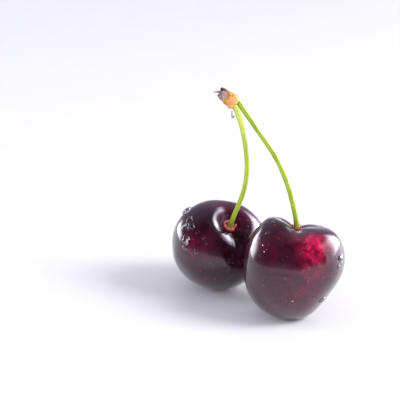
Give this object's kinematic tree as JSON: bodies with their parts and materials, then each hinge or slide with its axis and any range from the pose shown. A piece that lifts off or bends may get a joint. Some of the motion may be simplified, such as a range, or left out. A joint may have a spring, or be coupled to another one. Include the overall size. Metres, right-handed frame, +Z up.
{
  "type": "pair of sweet cherries on joined stalks",
  "caption": "Ripe dark red sweet cherries joined by green stalks on a spur end with bud scales, standing on their own undersides.",
  "frame": {"origin": "on the surface that the pair stands on, under the middle of its box", "axes": "+Z is up; -Y is the front, the suture side of the front fruit; the back fruit is behind it towards -X and +Y"},
  "size_m": [0.0462, 0.0442, 0.0596],
  "materials": {
    "cherry_skin": "glossy near-black purple skin that glows crimson where light comes through, with fine pale speckles",
    "green_stalk": "smooth fresh green stalk, paler at its edges and olive brown at the fruit",
    "calyx_red": "crinkled red-brown plant tissue",
    "spur_wood": "rough tan wood",
    "scale_tan": "papery tan bud scale",
    "scale_gold": "papery golden bud scale",
    "scale_dark": "torn dark brown-purple bud scale",
    "thorn_pink": "pink woody point",
    "dry_fibre": "dry brown fibre",
    "water": "clear water drops on the skin, in the visual model only"
  },
  "bodies": {
    "root": {"cherry_front": "cherry_skin", "cherry_back": "cherry_skin", "calyx_ring_front": "calyx_red", "calyx_ring_back": "calyx_red", "stalk_front": "green_stalk", "stalk_back": "green_stalk", "spur_stub": "spur_wood", "bud_scale_lower_1": "scale_tan", "bud_scale_lower_2": "scale_tan", "bud_scale_lower_3": "scale_tan", "bud_scale_lower_4": "scale_tan", "bud_scale_middle_1": "scale_gold", "bud_scale_middle_2": "scale_gold", "bud_scale_middle_3": "scale_gold", "bud_scale_middle_4": "scale_gold", "bud_scale_tip_1": "scale_dark", "bud_scale_tip_2": "scale_dark", "bud_scale_tip_3": "scale_dark", "spur_thorn": "thorn_pink", "dry_stipule": "dry_fibre"}
  },
  "joints": []
}
